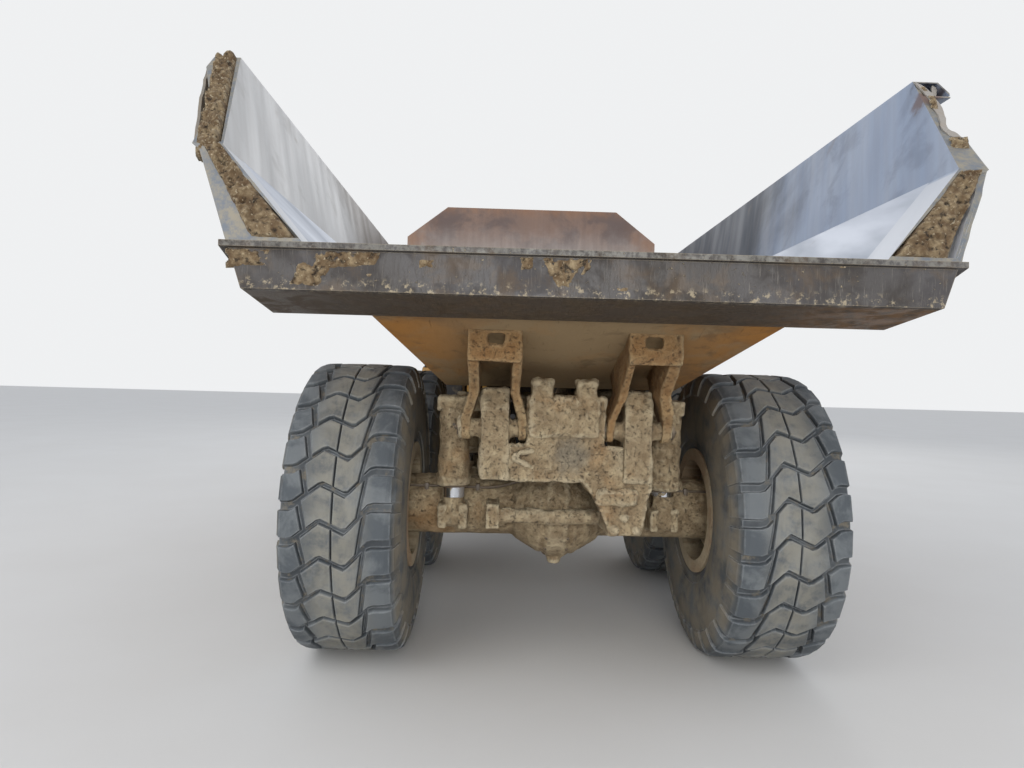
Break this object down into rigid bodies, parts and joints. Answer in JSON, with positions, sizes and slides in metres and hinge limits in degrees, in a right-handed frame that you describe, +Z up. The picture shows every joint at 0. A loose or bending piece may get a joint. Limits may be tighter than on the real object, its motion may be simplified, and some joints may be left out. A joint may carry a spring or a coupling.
{
  "type": "articulated dump truck",
  "caption": "Articulated dump truck: cab and hood on a front frame, pivot and swivel hitch, tipping body with sloped sides over a tandem of driven axles on broad earthmover tyres.",
  "frame": {"origin": "on the ground below the middle of the truck's length and width", "axes": "+Y forward along the truck, +X to the truck's right, +Z up"},
  "size_m": [3.44, 10.3, 3.626],
  "materials": {
    "dusty_frame": "paint under dried mud and dust",
    "dark_iron": "dusty dark paint",
    "yellow_paint": "faded paint under dust",
    "window_glass": "dusty clear glass",
    "seat_fabric": "worn cloth",
    "red_brown_steel": "rusted steel",
    "grey_steel": "scoured by loads",
    "black_steel": "worn and muddy",
    "chrome_rod": "polished rod",
    "tyre_rubber": "dusty rubber",
    "rim_paint": "dusty paint"
  },
  "bodies": {
    "rear_frame": {"rear_frame": "dusty_frame", "rear_rails": "dusty_frame", "axle_mid": "dusty_frame", "axle_rear": "dusty_frame", "rear_suspension": "dusty_frame", "suspension_links": "dusty_frame", "driveshafts": "dusty_frame"},
    "hitch": {"hitch": "dusty_frame"},
    "front_frame": {"front_frame": "dusty_frame", "front_rails": "dusty_frame", "axle_front": "dusty_frame", "front_suspension": "dusty_frame", "engine": "dark_iron", "gearbox": "dark_iron", "radiator": "dark_iron", "bumper": "yellow_paint", "fenders": "yellow_paint", "steps": "yellow_paint", "handrails": "dark_iron", "cab_mounts": "dark_iron", "cab_shell": "yellow_paint", "cab_roof": "yellow_paint", "cab_glass": "window_glass", "cab_seat": "seat_fabric", "cab_console": "dark_iron", "fuel_tank": "yellow_paint", "hydraulic_tank": "yellow_paint", "exhaust": "red_brown_steel", "mirrors": "dark_iron", "headlamps": "window_glass"},
    "hood": {"hood": "yellow_paint", "grille": "dark_iron"},
    "cab_door": {"cab_door": "yellow_paint", "door_glass": "window_glass"},
    "dump_body": {"body_floor": "grey_steel", "body_sides": "grey_steel", "body_front": "red_brown_steel", "tail_beam": "black_steel", "body_brackets": "dusty_frame"},
    "hoist_barrels": {"hoist_barrels": "dusty_frame"},
    "hoist_stages": {"hoist_stages": "chrome_rod"},
    "hoist_rods": {"hoist_rods": "chrome_rod"},
    "steer_barrel_l": {"steer_barrel_l": "dusty_frame"},
    "steer_barrel_r": {"steer_barrel_r": "dusty_frame"},
    "steer_rod_l": {"steer_rod_l": "chrome_rod"},
    "steer_rod_r": {"steer_rod_r": "chrome_rod"},
    "wheel_fl": {"tyre_fl": "tyre_rubber", "rim_fl": "rim_paint"},
    "wheel_fr": {"tyre_fr": "tyre_rubber", "rim_fr": "rim_paint"},
    "wheel_ml": {"tyre_ml": "tyre_rubber", "rim_ml": "rim_paint"},
    "wheel_mr": {"tyre_mr": "tyre_rubber", "rim_mr": "rim_paint"},
    "wheel_rl": {"tyre_rl": "tyre_rubber", "rim_rl": "rim_paint"},
    "wheel_rr": {"tyre_rr": "tyre_rubber", "rim_rr": "rim_paint"}
  },
  "joints": [
    {"name": "swivel", "type": "hinge", "parent": "rear_frame", "child": "hitch", "pos_m": [0, 0.18, 0.95], "axis": [0, 1, 0], "range_deg": [-15, 15]},
    {"name": "steer", "type": "hinge", "parent": "hitch", "child": "front_frame", "pos_m": [0, 1.08, 0.95], "axis": [0, 0, 1], "range_deg": [-45, 45]},
    {"name": "tip", "type": "hinge", "parent": "rear_frame", "child": "dump_body", "pos_m": [0, -4.17, 1.3], "axis": [1, 0, 0], "range_deg": [0, 70]},
    {"name": "hood_tilt", "type": "hinge", "parent": "front_frame", "child": "hood", "pos_m": [0, 4.9, 1.235], "axis": [-1, 0, 0], "range_deg": [0, 60]},
    {"name": "door_swing", "type": "hinge", "parent": "front_frame", "child": "cab_door", "pos_m": [-0.802, 2.602, 2.4], "axis": [0, 0, -1], "range_deg": [0, 85]},
    {"name": "hoist_turn", "type": "hinge", "parent": "rear_frame", "child": "hoist_barrels", "pos_m": [0, 0.08, 0.62], "axis": [1, 0, 0], "range_deg": [-18.55, 0.01]},
    {"name": "hoist_first", "type": "slide", "parent": "hoist_barrels", "child": "hoist_stages", "axis": [0, -0.921, 0.3895], "range_m": [0, 1.3533]},
    {"name": "hoist_second", "type": "slide", "parent": "hoist_stages", "child": "hoist_rods", "axis": [0, -0.921, 0.3895], "range_m": [0, 1.3533]},
    {"name": "steer_turn_l", "type": "hinge", "parent": "front_frame", "child": "steer_barrel_l", "pos_m": [-0.42, 1.94, 1], "axis": [0, 0, 1], "range_deg": [-9.4, 9.4]},
    {"name": "steer_slide_l", "type": "slide", "parent": "steer_barrel_l", "child": "steer_rod_l", "axis": [0.0175, -0.9998, 0], "range_m": [-0.303, 0.303]},
    {"name": "steer_turn_r", "type": "hinge", "parent": "front_frame", "child": "steer_barrel_r", "pos_m": [0.42, 1.94, 1], "axis": [0, 0, 1], "range_deg": [-9.4, 9.4]},
    {"name": "steer_slide_r", "type": "slide", "parent": "steer_barrel_r", "child": "steer_rod_r", "axis": [-0.0175, -0.9998, 0], "range_m": [-0.303, 0.303]},
    {"name": "roll_fl", "type": "hinge", "parent": "front_frame", "child": "wheel_fl", "pos_m": [-1.1, 2.28, 0.81], "axis": [1, 0, 0], "continuous": true},
    {"name": "roll_fr", "type": "hinge", "parent": "front_frame", "child": "wheel_fr", "pos_m": [1.1, 2.28, 0.81], "axis": [1, 0, 0], "continuous": true},
    {"name": "roll_ml", "type": "hinge", "parent": "rear_frame", "child": "wheel_ml", "pos_m": [-1.1, -1.9, 0.81], "axis": [1, 0, 0], "continuous": true},
    {"name": "roll_mr", "type": "hinge", "parent": "rear_frame", "child": "wheel_mr", "pos_m": [1.1, -1.9, 0.81], "axis": [1, 0, 0], "continuous": true},
    {"name": "roll_rl", "type": "hinge", "parent": "rear_frame", "child": "wheel_rl", "pos_m": [-1.1, -3.62, 0.81], "axis": [1, 0, 0], "continuous": true},
    {"name": "roll_rr", "type": "hinge", "parent": "rear_frame", "child": "wheel_rr", "pos_m": [1.1, -3.62, 0.81], "axis": [1, 0, 0], "continuous": true}
  ],
  "couplings": [
    {"joint": "hoist_turn", "follows": "tip", "ratio": -0.26491},
    {"joint": "hoist_first", "follows": "tip", "m_per_rad": 1.1073},
    {"joint": "hoist_second", "follows": "tip", "m_per_rad": 1.1073},
    {"joint": "steer_turn_l", "follows": "steer", "ratio": -0.2058},
    {"joint": "steer_turn_r", "follows": "steer", "ratio": -0.2058},
    {"joint": "steer_slide_l", "follows": "steer", "m_per_rad": -0.3849},
    {"joint": "steer_slide_r", "follows": "steer", "m_per_rad": 0.3849}
  ]
}
